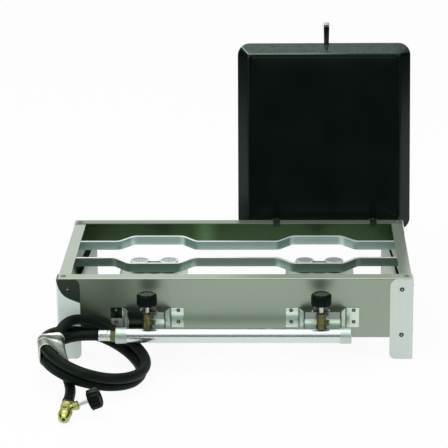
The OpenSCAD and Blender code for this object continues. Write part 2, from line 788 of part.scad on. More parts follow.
module hinge_pins() {
    color("#8d9690") at() for (x = hinge_xs) {
        rod_x(pin_y, pin_z, pin_r, x - 6.8, x + 6.8);
        for (k = [-1, 1]) rod_x(pin_y, pin_z, 2.9, x + k * 6.65 - 0.6, x + k * 6.65 + 0.6);
    }
}

front_panel();
rear_panel();
left_side_panel();
right_side_panel();
front_left_leg();
front_right_leg();
rear_left_leg();
rear_right_leg();
leg_rivets();
corner_screws();
front_grate_bar();
rear_grate_bar();
left_burner_body();
right_burner_body();
left_burner_caps();
right_burner_caps();
left_burner_tray();
right_burner_tray();
left_valve_bracket();
right_valve_bracket();
bracket_rivets();
left_valve_body();
right_valve_body();
left_gas_jet();
right_gas_jet();
left_valve_stem();
right_valve_stem();
left_knob();
right_knob();
manifold_tube();
left_manifold_cap();
right_manifold_cap();
inlet_nut();
hose_ferrule();
gas_hose();
coil_strap();
hose_end_sleeve();
cylinder_valve_body();
cylinder_valve_nut();
cylinder_valve_spindle();
cylinder_valve_knob();
griddle_pan();
griddle_handle();
griddle_hinge_straps();
hinge_clips();
hinge_pins();
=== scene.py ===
# A low two-burner camping stove in sheet steel, with a gas hose coiled at its left
# and an enamelled griddle hinged to its rear edge, standing open.
import math

import bmesh
import bpy
from mathutils import Matrix, Vector, noise
from mathutils.geometry import delaunay_2d_cdt


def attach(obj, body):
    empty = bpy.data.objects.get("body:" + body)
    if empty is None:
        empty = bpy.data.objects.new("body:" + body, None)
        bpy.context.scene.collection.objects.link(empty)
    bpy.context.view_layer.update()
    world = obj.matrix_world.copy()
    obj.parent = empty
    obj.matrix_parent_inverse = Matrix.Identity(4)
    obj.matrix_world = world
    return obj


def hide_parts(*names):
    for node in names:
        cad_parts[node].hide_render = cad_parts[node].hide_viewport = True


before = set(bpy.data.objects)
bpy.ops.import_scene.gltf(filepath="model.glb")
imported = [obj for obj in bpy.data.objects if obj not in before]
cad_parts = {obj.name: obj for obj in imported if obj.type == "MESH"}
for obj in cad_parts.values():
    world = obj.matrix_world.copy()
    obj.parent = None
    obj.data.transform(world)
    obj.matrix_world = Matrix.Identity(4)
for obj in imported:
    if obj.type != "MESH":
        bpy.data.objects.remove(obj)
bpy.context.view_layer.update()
scene = bpy.context.scene
scene.view_settings.view_transform = "Standard"


# The camera: a long lens 3.5 m in front of the stove, looking down on it by about 18 degrees.
camera_at = Vector((0.07877, -3.46338, 1.27814))
camera_turn, camera_dip, camera_roll = -0.031196, 0.306721, -0.010607
camera_data = bpy.data.cameras.new("camera")
camera_data.sensor_width = 36
camera_data.lens = 164.73
camera = bpy.data.objects.new("camera", camera_data)
camera.matrix_world = (
    Matrix.Translation(camera_at)
    @ Matrix.Rotation(-camera_turn, 4, "Z")
    @ Matrix.Rotation(math.pi / 2 - camera_dip, 4, "X")
    @ Matrix.Rotation(camera_roll, 4, "Z")
)
scene.collection.objects.link(camera)
scene.camera = camera


# The gas hose: black rubber, 17.5 mm thick. It leaves the ferrule to the left, drops to the
# floor in front, makes one and a half turns of a coil that leans on the ferrule's end,
# comes down inside the coil and runs forward along the floor to the cylinder valve.
# Pieces are drawn in mm from the middle of the front panel's foot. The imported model's own
# middle is at middle_x, middle_y there.
middle_x, middle_y = 6.75, 190.12123
frame_place = Matrix.Scale(0.001, 4) @ Matrix.Translation((-middle_x, -middle_y, 0))
hose_radius = 8.75
hose_lead = [
    (-228.4, -45, 58.4), (-237.4, -45, 58.4), (-246.4, -45, 58.4), (-258, -45.8, 58.3),
    (-273.5, -50.5, 58), (-289.5, -60.5, 56.5), (-303, -76, 53.5), (-311, -96, 50.5),
    (-312.5, -118, 49), (-306.5, -139.5, 46.5), (-295.5, -156, 44), (-281, -168.5, 39.5),
]
hose_tail = [
    (-262.5, -26.5, 81.5), (-278, -45, 85), (-289.5, -69, 81), (-292.5, -94.5, 69.5),
    (-287, -114.5, 53), (-279.5, -128.5, 40.5), (-274.5, -142.5, 27), (-268, -158.5, 18),
    (-264, -177, 13), (-263.5, -196.5, 12), (-263.5, -203, 12), (-263.5, -212, 12),
    (-263.5, -221, 12),
]
coil_start, coil_knots, knots_per_turn = 0.22, 39, 24


def ease(t):
    """A smooth step from 0 to 1."""
    t = min(max(t, 0), 1)
    return t * t * (3 - 2 * t)


def coil_point(turns):
    """A flat oval that lies on the floor in front and climbs over the lead at the left.

    over is how high it climbs there, peak where on the turn, and power how steep that is.
    """
    angle = math.pi * (1 - 2 * turns)
    low = 9.4 + 17.1 * ease((turns - 0.55) / 0.35)
    if turns < 0.44:
        over, peak, power = 57.9, 1.01, 1.51
    elif turns < 1.42:
        over, peak, power = 68.8, 1.01, 0.81 if turns < 1.01 else 1.51
    else:
        over, peak, power = 86.7, 1.92, 1.69
    hump = ((1 + math.cos(2 * math.pi * (turns - peak))) / 2) ** power
    return (
        -249.1 + 16.3 * turns + (92 - 8.5 * turns) * math.cos(angle),
        -93.2 - 4.4 * turns - (83.1 + 4.5 * turns) * math.sin(angle),
        low + (over - low) * hump,
    )


def smooth_route(knots, steps):
    """A uniform B-spline that starts and ends at the first and last knot."""
    knots = [Vector(k) for k in knots]
    knots = [2 * knots[0] - knots[1]] + knots + [2 * knots[-1] - knots[-2]]
    route = []
    for a, b, c, d in zip(knots, knots[1:], knots[2:], knots[3:]):
        for i in range(steps):
            t = i / steps
            route.append(
                ((1 - t) ** 3 * a + (3 * t**3 - 6 * t**2 + 4) * b
                 + (-3 * t**3 + 3 * t**2 + 3 * t + 1) * c + t**3 * d) / 6
            )
    return route + [(knots[-3] + 4 * knots[-2] + knots[-1]) / 6]


class Value:
    """One output of a shader node. Sums of it with numbers add the Math nodes they need."""

    def __init__(self, output):
        self.output = output

    def of(self, name):
        """Another output of the same node."""
        return Value(self.output.node.outputs[name])

    def math(self, operation, first, second):
        node = self.output.id_data.nodes.new("ShaderNodeMath")
        node.operation = operation
        for socket, value in zip(node.inputs, (first, second)):
            connect(socket, value)
        return Value(node.outputs[0])

    def __add__(self, other):
        return self.math("ADD", self, other)

    def __sub__(self, other):
        return self.math("SUBTRACT", self, other)

    def __rsub__(self, other):
        return self.math("SUBTRACT", other, self)

    def __mul__(self, other):
        return self.math("MULTIPLY", self, other)

    def __gt__(self, other):
        return self.math("GREATER_THAN", self, other)

    def size(self):
        return self.math("ABSOLUTE", self, 0)

    __radd__ = __add__
    __rmul__ = __mul__


def connect(socket, value):
    """Links a value to a node's socket, or sets a number, colour or vector on it."""
    if isinstance(value, Value):
        socket.id_data.links.new(value.output, socket)
    elif socket.type == "RGBA" and len(value) == 3:
        socket.default_value = (*value, 1)
    else:
        socket.default_value = value


class Bench:
    """A node tree being wired: node() adds one node and returns one of its outputs."""

    def __init__(self, owner):
        owner.use_nodes = True
        self.owner = owner
        self.tree = owner.node_tree
        self.tree.nodes.clear()

    def node(self, kind, settings=None, sockets=None, out=0):
        node = self.tree.nodes.new(kind)
        for name, value in (settings or {}).items():
            if name == "stops":
                ramp = node.color_ramp
                while len(ramp.elements) < len(value):
                    ramp.elements.new(0.5)
                for stop, (place, level) in zip(ramp.elements, value):
                    stop.position = place
                    stop.color = (level, level, level, 1)
            else:
                setattr(node, name, value)
        for name, value in (sockets or {}).items():
            connect(node.inputs[name], value)
        return Value(node.outputs[out]) if node.outputs else None


def tone(red, green, blue):
    """A colour as it is read off a picture, 0 to 255, in linear light."""
    return tuple(
        c / 255 / 12.92 if c < 10.3 else ((c / 255 + 0.055) / 1.055) ** 2.4
        for c in (red, green, blue)
    )


class Finish(Bench):
    """A material for one finish of the stove."""

    def __init__(self, name):
        super().__init__(bpy.data.materials.new(name))
        self.place = self.node("ShaderNodeTexCoord", out="Object")

    def grain(self, sizes, detail=2, rough=0.5, warp=0):
        """Soft random grains around 0.5, as long along X, Y and Z as sizes say, in mm."""
        sizes = sizes if isinstance(sizes, tuple) else (sizes,) * 3
        spot = self.node(
            "ShaderNodeVectorMath", {"operation": "MULTIPLY"},
            {0: self.place, 1: tuple(1000 / s for s in sizes)},
        )
        return self.node(
            "ShaderNodeTexNoise", {"noise_dimensions": "3D"},
            {"Vector": spot, "Scale": 1, "Detail": detail, "Roughness": rough, "Distortion": warp},
        )

    def ramp(self, value, *stops):
        """Levels for a value: pairs of a place from 0 to 1 and the level there."""
        return self.node("ShaderNodeValToRGB", {"stops": stops}, {0: value})

    def mix(self, share, first, second):
        return self.node("ShaderNodeMix", {"data_type": "RGBA"}, {0: share, 6: first, 7: second}, 2)

    def surface(self, colour, roughness, metal=0, relief=None, depth=0, **more):
        """Closes the material: relief is a height from 0 to 1 that is depth mm deep."""
        sockets = {"Base Color": colour, "Roughness": roughness, "Metallic": metal}
        sockets.update({name.replace("_", " "): value for name, value in more.items()})
        if relief is not None:
            sockets["Normal"] = self.node(
                "ShaderNodeBump", {}, {"Height": relief, "Distance": depth / 1000, "Strength": 1}
            )
        shader = self.node("ShaderNodeBsdfPrincipled", {}, sockets)
        self.node("ShaderNodeOutputMaterial", {}, {"Surface": shader})
        return self.owner


def rubber(name, colour, dust_and_sheen):
    """Matt black rubber with a fine skin, rubbed paler and smoother in patches."""
    finish = Finish(name)
    skin = finish.grain(0.7, 3)
    rubbed = finish.ramp(finish.grain((45, 45, 30), 3), (0.42, 0), (0.68, 1))
    return finish.surface(
        finish.mix(rubbed * 0.5 + skin * 0.25, colour, dust_and_sheen),
        0.46 + 0.16 * skin - 0.1 * rubbed,
        relief=skin + 0.5 * rubbed, depth=0.05, Specular_IOR_Level=0.12,
        Specular_Tint=(0.75, 1, 0.85, 1),
    )


def add_piece(name, bm, material, place=frame_place, crease=35):
    """Turns a mesh drawn in mm, from the middle of the front panel's foot, into a piece."""
    mesh = bpy.data.meshes.new(name)
    bmesh.ops.recalc_face_normals(bm, faces=bm.faces)
    bm.to_mesh(mesh)
    bm.free()
    mesh.transform(place)
    mesh.shade_smooth()
    mesh.set_sharp_from_angle(angle=math.radians(crease))
    mesh.materials.append(material)
    made = bpy.data.objects.new(name, mesh)
    scene.collection.objects.link(made)
    return made


def add_loft(bm, rings, ends=True):
    """Skins closed rings of points that all have the same count."""
    loops = [[bm.verts.new(p) for p in ring] for ring in rings]
    count = len(loops[0])
    for low, high in zip(loops, loops[1:]):
        for k in range(count):
            m = (k + 1) % count
            bm.faces.new((low[k], low[m], high[m], high[k]))
    if ends:
        bm.faces.new(loops[0][::-1])
        bm.faces.new(loops[-1])


def heading(route, i):
    """The direction of a route at one of its points."""
    return (route[min(i + 1, len(route) - 1)] - route[max(i - 1, 0)]).normalized()


def sweep_rings(route, radius, sides):
    """Round rings along a route, carried from one to the next without a twist."""
    rings = []
    side = None
    for i, spot in enumerate(route):
        ahead = heading(route, i)
        if side is None:
            side = ahead.orthogonal()
        side = (side - ahead * side.dot(ahead)).normalized()
        over = ahead.cross(side)
        angles = [2 * math.pi * k / sides for k in range(sides)]
        rings.append([spot + radius * (math.cos(a) * side + math.sin(a) * over) for a in angles])
    return rings


hose_coil = [coil_point(coil_start + i / knots_per_turn) for i in range(coil_knots)]
hose_line = smooth_route(hose_lead + hose_coil + hose_tail, 6)
hose_route = [frame_place @ p for p in hose_line]
hose_length = sum((b - a).length for a, b in zip(hose_route, hose_route[1:]))
bm = bmesh.new()
add_loft(bm, sweep_rings(hose_line, hose_radius, 36))
hose = add_piece("gas_hose_rubber", bm, rubber("hose_rubber", tone(6, 10, 8), tone(30, 39, 33)))
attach(hose, "root")
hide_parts("gas_hose")


# The studio: a white floor that keeps a light shadow, a white surround, two wide soft lamps
# overhead and at the left, and dark screens in front and at both sides for gloss to reflect.
background_share = 0.93
world = bpy.data.worlds.new("white_surround")
scene.world = world
surround = Bench(world)


def seen_rays(bench):
    """1 where the camera, gloss or glass looks, and 0 for the light that falls."""
    rays = bench.node("ShaderNodeLightPath", out="Is Camera Ray")
    return rays + rays.of("Is Glossy Ray") + rays.of("Is Transmission Ray")


surround.node(
    "ShaderNodeOutputWorld", {},
    {"Surface": surround.node("ShaderNodeMixShader", {}, {
        0: seen_rays(surround),
        1: surround.node("ShaderNodeBackground", {}, {"Color": (0.62, 0.63, 0.62), "Strength": 1}),
        2: surround.node("ShaderNodeBackground", {}, {"Color": (1, 1, 1), "Strength": 1}),
    })},
)

paper = Finish("white_paper")
paper_fibre = paper.grain(4, 3)
paper.node(
    "ShaderNodeOutputMaterial", {},
    {"Surface": paper.node("ShaderNodeMixShader", {}, {
        0: background_share * seen_rays(paper),
        1: paper.node("ShaderNodeBsdfDiffuse", {}, {
            "Color": paper.mix(paper_fibre, tone(246, 246, 246), tone(252, 252, 252)),
        }),
        2: paper.node("ShaderNodeEmission", {}, {"Color": (1, 1, 1), "Strength": 1}),
    })},
)


def add_sheet(name, width, depth, place, material):
    """A flat stage sheet, centred on its place."""
    bm = bmesh.new()
    bmesh.ops.create_grid(bm, x_segments=1, y_segments=1, size=500)
    made = add_piece(name, bm, material, Matrix.Diagonal((width / 1000, depth / 1000, 1, 1)))
    made.matrix_world = place
    return made


add_sheet("floor", 16, 16, Matrix.Translation((0, 0, -0.0005)), paper.owner)
felt = Finish("black_felt")
felt.surface(felt.mix(felt.grain(3), tone(8, 9, 8), tone(16, 18, 17)), 1)
for name, spot, turn in (
    ("front_screen", (0, -5.2, 1.35), 0),
    ("left_screen", (-3.2, 0, 1.6), math.pi / 2),
    ("right_screen", (3.2, 0, 1.6), math.pi / 2),
):
    upright = Matrix.Rotation(turn, 4, "Z") @ Matrix.Rotation(math.pi / 2, 4, "X")
    screen = add_sheet(name, 7, 2.6, Matrix.Translation(spot) @ upright, felt.owner)
    screen.visible_camera = False
    screen.visible_diffuse = False
    screen.visible_shadow = False
    screen.visible_transmission = False


def add_lamp(name, power, width, depth, spot, aim):
    """A soft rectangular lamp that hangs at spot and faces aim."""
    lamp = bpy.data.lights.new(name, "AREA")
    lamp.shape = "RECTANGLE"
    lamp.size, lamp.size_y = width, depth
    lamp.energy = power
    made = bpy.data.objects.new(name, lamp)
    made.matrix_world = (
        Matrix.Translation(spot)
        @ (Vector(aim) - Vector(spot)).to_track_quat("-Z", "Y").to_matrix().to_4x4()
    )
    scene.collection.objects.link(made)


add_lamp("overhead_lamp", 30, 3.2, 2.4, (-0.5, -0.3, 2.6), (0, 0, 0))
add_lamp("left_lamp", 12, 1.6, 1.6, (-2.4, -1.6, 1.6), (0, 0, 0.1))


# The frame's four panels: stainless sheet, 1.2 mm thick, brushed along its length and
# folded over at the top. The side panels tuck under the front and rear flanges.
def dress(material, *names):
    """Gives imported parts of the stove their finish."""
    for name in names:
        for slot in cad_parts[name].material_slots:
            slot.material = material


def along(finish, axis):
    """The place along one axis, in mm."""
    return finish.node("ShaderNodeSeparateXYZ", {}, {0: finish.place}, axis) * 1000


def light_and_dark(colour):
    """A sheet's two shades, a little below and above its colour."""
    return tuple(c * 0.86 for c in colour), tuple(min(c * 1.1, 1) for c in colour)


def sheet_metal(name, colour, rough, brush, wave=0.0, satin=0.0, top=None, lit_top_colour=None,
                mark=None, mark_colour=None):
    """Rolled sheet: streaks along the brushing, soft clouds, rubbed marks, a faint waviness.

    satin is how far it scatters light as dull plating does. Above the height top, in mm, the
    metal is painted paler and duller: a painted highlight. mark gives the share of another
    colour, painted light or shade, from the place across the stove and the height, both in mm.
    """
    finish = Finish(name)
    streak = finish.grain(brush, 2, 0.6)
    cloud = finish.grain((110, 110, 70), 2)
    rubbed = finish.ramp(finish.grain(24, 4, 0.6, 1.2), (0.58, 0), (0.78, 1))
    shades = 0.55 * streak + 0.45 * cloud
    skin = finish.mix(shades, *light_and_dark(colour))
    dull = satin
    height = along(finish, "Z")
    if mark is not None:
        share = mark(finish, along(finish, "X") + middle_x, height)
        skin = finish.mix(share, skin, mark_colour)
    if top is not None:
        # Above the height top the sheet is painted paler: a painted highlight on its top.
        lit_top = height > top
        skin = finish.mix(lit_top, skin, finish.mix(shades, *light_and_dark(lit_top_colour)))
        dull = satin + (0.5 - satin) * lit_top
    return finish.surface(
        skin, rough + 0.12 * (streak - 0.5) + 0.1 * (cloud - 0.5) + 0.08 * rubbed + 0.2 * dull,
        metal=1 - dull, relief=0.08 * streak + wave * cloud, depth=0.12,
    )


panel_tone = tone(158, 171, 153)
# The flanges' paler tone is a painted highlight for the light that falls on their tops.
lit_flange_tone = tone(172, 184, 168)
flange_under = 143.3


def left_shade(finish, x, z):
    """The dull reflection that the hose and the leg leave on the front panel's left end."""
    return finish.ramp(
        (x + 300) * 0.005, (0, 0.3), (0.2, 0.42), (0.45, 0.6), (0.56, 0.52), (0.72, 0.2), (0.9, 0)
    )


long_panel_sheet = sheet_metal(
    "panel_brushed_lengthwise", panel_tone, 0.34, (240, 0.35, 0.35), 0, 0.12,
    flange_under, lit_flange_tone, left_shade, tone(40, 60, 36),
)
side_panel_sheet = sheet_metal(
    "side_brushed_lengthwise", panel_tone, 0.13, (0.35, 240, 0.35), 0, 0.06, 142, lit_flange_tone
)


def pale_patch(finish, x, z):
    """A soft upright streak left of the rear panel's middle, painted paler in its painted shade."""
    return finish.ramp((x + 62).size() * 0.04, (0.1, 0.8), (1, 0))


# The rear panel's dark colour is painted shade inside the frame; its flange top is painted paler, a
# painted highlight.
rear_panel_sheet = sheet_metal(
    "rear_brushed_lengthwise", tone(60, 80, 54), 0.24, (240, 0.35, 0.35), 0, 0,
    flange_under, tone(130, 142, 126), pale_patch, tone(92, 122, 88),
)
dress(long_panel_sheet, "front_panel")
dress(rear_panel_sheet, "rear_panel")
dress(side_panel_sheet, "left_side_panel", "right_side_panel")


# The legs: bright steel angles, 2.5 mm thick, that wrap the frame's corners and are riveted
# to the panels there.
def leg_dark_reflection(finish, x, z):
    """A painted dark reflection above a line that slants up across the left leg and bends upright
    at its edge.
    """
    out = (x + 263) * (-1 / 39.5)
    cube = out * out * out
    return z > 101 + 16 * out + 23 * cube * cube


def facing(finish, axis):
    """How far the surface faces along one axis, from -1 to 1."""
    normal = finish.node("ShaderNodeNewGeometry", out="Normal")
    return finish.node("ShaderNodeSeparateXYZ", {}, {0: normal}, axis)


def slanted_shade(side, middle, slant, half):
    """A dark reflection that slants down the inside of one rear leg."""
    def shade(finish, x, z):
        inward = facing(finish, "Y") * -1 > 0.7
        off = (x * side - middle - z * slant).size()
        return inward * finish.ramp(off * (1 / half), (0.85, 1), (1, 0))
    return shade


leg_zinc = tone(212, 225, 217)
leg_brush = (1.2, 1.2, 90)
leg_sheet = sheet_metal("bright_leg", leg_zinc, 0.24, leg_brush, 0.3, 0.6)
# The front left leg is painted paler than the other legs, painted light, and carries a painted dark
# reflection at its top.
left_leg_painted_light_sheet = sheet_metal(
    "tinted_leg", tone(234, 252, 242), 0.24, leg_brush, 0.3, 0.96,
    mark=leg_dark_reflection, mark_colour=tone(26, 42, 28),
)
dress(leg_sheet, "front_right_leg")
dress(left_leg_painted_light_sheet, "front_left_leg")
for name, shade in (
    ("rear_left_leg", slanted_shade(-1, 316.1, -0.43, 6.4)),
    ("rear_right_leg", slanted_shade(1, 307, -0.32, 2.4)),
):
    dress(sheet_metal(name + "_zinc", leg_zinc, 0.24, leg_brush, 0.3, 0.6,
                      mark=shade, mark_colour=tone(1, 5, 2)), name)


# The screws: zinc-plated pan heads through the overlapping flanges at the frame's corners,
# each with a nut below.
def plain_metal(name, colour, rough, size=3.0, shade=0.82, satin=0.0):
    """Plated or turned metal with small dull spots and a fine skin."""
    finish = Finish(name)
    skin = finish.grain(size, 3)
    spots = finish.ramp(finish.grain(size * 4, 4, 0.65), (0.5, 0), (0.72, 1))
    return finish.surface(
        finish.mix(0.4 * skin + 0.6 * spots, colour, tuple(c * shade for c in colour)),
        rough + 0.12 * (skin - 0.5) + 0.14 * spots, metal=1 - satin, relief=skin, depth=0.02,
    )


dress(plain_metal("screw_steel", tone(112, 120, 108), 0.34), "corner_screws")


# The grate bars: two flat bars on edge, 5 by 16 mm, each bent outward round both burners
# and welded to the side panels at its ends.
bar_thick, bar_tall, bar_low = 5, 16, 126
bar_bend, bar_near, bar_far = 13, 46, 76
bar_half = [
    (73.4, bar_near), (98.4, bar_far), (186.4, bar_far), (211.4, bar_near), (298.8, bar_near),
]
weld_x, weld_radius, weld_ripples = 298, 1.8, 6
bar_brush = (60, 60, 0.6)
# A painted highlight along the bars' top edges above this height, in a paler colour.
bar_highlight_above = 141.4
bar_top_highlight = tone(238, 250, 242)
burner_line = 165.5


def front_bar_painted_light(finish, x, z):
    """Painted light: paler between the bows and on their inner slants, painted highlights at the
    outer bends.
    """
    return finish.ramp(
        x.size() * (1 / 300), (0.222, 0.42), (0.238, 0.85), (0.252, 0.85), (0.264, 0.5),
        (0.31, 0.4), (0.33, 0.05), (0.69, 0), (0.7, 0.55), (0.715, 0.55), (0.73, 0.04), (1, 0),
    )


def rear_bar_painted_light(finish, x, z):
    """Painted light and shade: paler on the bows' far runs, darker inner slants, painted highlights
    at the inner bends.
    """
    return finish.ramp(
        x.size() * (1 / 300), (0.23, 0.44), (0.255, 0.1), (0.31, 0.1), (0.322, 0.95), (0.337, 0.95),
        (0.35, 0.72), (0.6, 0.72), (0.613, 0.95), (0.63, 0.95), (0.645, 0.4), (1, 0.24),
    )


# Both bars are one zinc: the front bar's darker colour is painted shade, and the marks laid on them
# are painted light and shade.
bar_zincs = {
    "front_grate_bar": sheet_metal(
        "zinc_bar_front", tone(110, 134, 122), 0.26, bar_brush, 0.2, 0.42,
        bar_highlight_above, bar_top_highlight, front_bar_painted_light, tone(176, 200, 190),
    ),
    "rear_grate_bar": sheet_metal(
        "zinc_bar_rear", tone(112, 146, 137), 0.3, bar_brush, 0.2, 0.5,
        bar_highlight_above, bar_top_highlight, rear_bar_painted_light, tone(214, 240, 232),
    ),
}


def round_bends(corners, radius, steps):
    """A line through corners, with each inner corner bent to a radius."""
    corners = [Vector(c) for c in corners]
    line = [corners[0]]
    for a, b, c in zip(corners, corners[1:], corners[2:]):
        into, out = (a - b).normalized(), (c - b).normalized()
        half = into.angle(out) / 2
        reach = radius / math.tan(half)
        middle = b + (into + out).normalized() * radius / math.sin(half)
        first, last = b + into * reach - middle, b + out * reach - middle
        for i in range(steps + 1):
            line.append(middle + (first.lerp(last, i / steps)).normalized() * radius)
    return line + [corners[-1]]


def rounded_box(width, height, radius, steps=2):
    """The outline of a section with rounded corners, counter-clockwise round (0, 0)."""
    points = []
    for i, (sx, sy) in enumerate(((1, 1), (-1, 1), (-1, -1), (1, -1))):
        for k in range(steps + 1):
            a = math.pi / 2 * (i + k / steps)
            points.append((
                sx * (width / 2 - radius) + radius * math.cos(a),
                sy * (height / 2 - radius) + radius * math.sin(a),
            ))
    return points


def add_bead(bm, start, end, radius, ripples):
    """A weld bead: a rippled run of metal with round ends."""
    start, end = Vector(start), Vector(end)
    route = [start.lerp(end, i / (ripples * 4)) for i in range(ripples * 4 + 1)]
    rings = sweep_rings(route, 1, 10)
    for i, (ring, spot) in enumerate(zip(rings, route)):
        t = i / (len(route) - 1)
        swell = radius * (0.25 + 0.75 * math.sqrt(max(0, 1 - (2 * t - 1) ** 4)))
        swell *= 0.86 + 0.14 * abs(math.sin(math.pi * i / 4))
        ring[:] = [spot + (p - spot) * swell * (1 + 0.15 * noise.noise(p * 0.9)) for p in ring]
    add_loft(bm, rings)


bar_welds = bmesh.new()
for name, side in (("front_grate_bar", -1), ("rear_grate_bar", 1)):
    corners = [(-x, y) for x, y in bar_half[::-1]] + bar_half
    line = round_bends([Vector((x, burner_line + side * y)) for x, y in corners], bar_bend, 7)
    section = rounded_box(bar_thick, bar_tall, 0.7)
    rings = []
    for i, spot in enumerate(line):
        ahead = heading(line, i)
        aside = Vector((-ahead.y, ahead.x))
        rings.append([
            (spot.x + aside.x * u, spot.y + aside.y * u, bar_low + bar_tall / 2 + v)
            for u, v in section
        ])
    bm = bmesh.new()
    add_loft(bm, rings)
    bar = add_piece(name + "_bent", bm, bar_zincs[name])
    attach(bar, "root")
    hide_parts(name)
    for end in (-1, 1):
        for face in (-1, 1):
            foot = (end * weld_x, burner_line + side * bar_near + face * bar_thick / 2)
            low, high = (*foot, bar_low + 1), (*foot, bar_low + bar_tall - 1)
            add_bead(bar_welds, low, high, weld_radius, weld_ripples)
weld_metal = plain_metal("weld_metal", tone(118, 124, 118), 0.42, 2)
welds = add_piece("bar_weld_beads", bar_welds, weld_metal)
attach(welds, "root")


# The burners: cast bodies with a mixing tube below the tray, a riser, and two cups on a link.
# Their rough skin is sooted in patches.
cast = Finish("cast_burner")
cast_skin = cast.grain(1.1, 4, 0.6)
cast_soot = cast.ramp(cast.grain(22, 4, 0.6), (0.45, 0), (0.7, 1))
cast_body = cast.surface(
    cast.mix(cast_soot, tone(112, 121, 114), tone(58, 66, 60)),
    0.55 + 0.2 * cast_skin, metal=0.3, relief=cast_skin, depth=0.18,
)
dress(cast_body, "left_burner_body", "right_burner_body")


# The burner caps: pressed steel domes, 33 mm across, with rings of small flame ports and a
# rolled rim. Each lies on a cup of its burner.
cap_radius, cap_rise, cap_rim, cap_wall = 16.5, 3.5, 1.86, 0.8
dome_reach = 24
cap_ball = (dome_reach**2 + cap_rise**2) / (2 * cap_rise)
cap_base, cap_sides = 119.5, 96
port_radius, port_gap, ring_gap, ring_count = 1.0, 3.1, 2.9, 4
burner_x = 146
cup_offset = 25.75
cap_finish = Finish("cap_plate")
cap_skin = cap_finish.grain(1.5, 3)
# The domes' faces that look up are painted light and their sides painted dark: painted light and
# shade.
cap_plate = cap_finish.surface(
    cap_finish.mix(
        cap_finish.ramp(facing(cap_finish, "Z").size(), (0.35, 0), (0.8, 1)),
        cap_finish.mix(cap_skin, tone(44, 52, 46), tone(62, 72, 66)),
        cap_finish.mix(cap_skin, tone(204, 216, 209), tone(236, 244, 239)),
    ),
    0.3 + 0.1 * cap_skin, metal=0.4, relief=cap_skin, depth=0.02,
)


def port_centres():
    """Staggered rings of ports round one in the middle."""
    centres = [Vector((0, 0))]
    for ring in range(1, ring_count + 1):
        count = round(2 * math.pi * ring_gap * ring / port_gap)
        for k in range(count):
            a = 2 * math.pi * (k + 0.5 * (ring % 2)) / count
            centres.append(Vector((ring_gap * ring * math.cos(a), ring_gap * ring * math.sin(a))))
    return centres


def cap_disc():
    """The dome's plan as triangles, with every port left open."""
    centres = port_centres()
    outlines = [(c, port_radius, 10) for c in centres]
    outlines.append((Vector((0, 0)), cap_radius - 0.6, cap_sides))
    points, edges = [], []
    for centre, radius, sides in outlines:
        first = len(points)
        for k in range(sides):
            a = 2 * math.pi * k / sides
            points.append(centre + radius * Vector((math.cos(a), math.sin(a))))
            edges.append((first + k, first + (k + 1) % sides))
    made = delaunay_2d_cdt(points, edges, [], 0, 1e-5)
    spots, faces = made[0], made[2]
    kept = []
    for face in faces:
        middle = sum((spots[i] for i in face), Vector((0, 0))) / len(face)
        if min((middle - c).length for c in centres) > port_radius * 0.95:
            kept.append(face)
    return spots, kept


def add_cap(bm, x, y, spots, faces):
    """One dome: the pierced disc, its underside, the port walls and the rolled rim."""
    def dome(p, drop):
        return (x + p.x, y + p.y,
                cap_base + cap_rise - drop - cap_ball + math.sqrt(cap_ball**2 - p.length_squared))
    top = [bm.verts.new(dome(p, 0)) for p in spots]
    low = [bm.verts.new(dome(p, cap_wall)) for p in spots]
    borders = {}
    for face in faces:
        bm.faces.new([top[i] for i in face])
        bm.faces.new([low[i] for i in face[::-1]])
        for i, k in zip(face, face[1:] + face[:1]):
            borders[(i, k)] = (k, i) not in borders
            if (k, i) in borders:
                borders[(k, i)] = False
    for (i, k), open_edge in borders.items():
        if open_edge and (spots[i].length < cap_radius - 1 or spots[k].length < cap_radius - 1):
            bm.faces.new((top[k], top[i], low[i], low[k]))
    rim_rows = ((15.9, cap_rim + 0.11), (16.25, cap_rim - 0.02), (16.5, cap_rim - 0.35),
                (16.5, 0.2), (16.3, 0), (15.7, 0), (15.7, cap_rim - 0.68))
    turns = [2 * math.pi * k / cap_sides for k in range(cap_sides)]
    add_loft(bm, [
        [(x + r * math.cos(a), y + r * math.sin(a), cap_base + h) for a in turns]
        for r, h in rim_rows
    ], ends=False)


disc_spots, disc_faces = cap_disc()
for name, side in (("left_burner_caps", -1), ("right_burner_caps", 1)):
    bm = bmesh.new()
    for offset in (-cup_offset, cup_offset):
        add_cap(bm, side * burner_x + offset, burner_line, disc_spots, disc_faces)
    bmesh.ops.remove_doubles(bm, verts=bm.verts, dist=0.02)
    caps = add_piece(name + "_pierced", bm, cap_plate)
    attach(caps, "root")
    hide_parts(name)


# The spill trays: plain sheet under each burner's cups, with upturned sides and a front tab.
# The burner's riser comes up through the tray.
tray_sheet = sheet_metal("tray_sheet", tone(206, 226, 209), 0.26, (0.5, 120, 0.5), 0.3, 0.7)
dress(tray_sheet, "left_burner_tray", "right_burner_tray")


# The valve brackets: bright sheet folded to a hat section and riveted to the front panel by
# its two feet. Each tap's jet blows through the front wall into its burner.
bracket_x = 148.8
wall_bend, foot_bend = 31, 40


def hat_shade(finish, x, z):
    """A painted shadow along the top of the front wall, and painted shade at the four bends."""
    from_middle = (x.size() - bracket_x).size()
    shade = (wall_bend - from_middle > 0) * finish.ramp(z * 0.01, (0.79, 0), (0.81, 0.62))
    for bend in (wall_bend, foot_bend):
        shade = shade + finish.ramp((from_middle - bend).size() * 0.3, (0.3, 0.6), (0.6, 0))
    return shade


def hat_shade_left(finish, x, z):
    """The same, with two black reflections: on the outer foot and on the front wall's left."""
    from_left = x + bracket_x
    foot = (-42.5 - from_left > 0) * (z > 73.5)
    wall = (from_left > -30) * (-6 - from_left > 0)
    return hat_shade(finish, x, z) + foot + wall


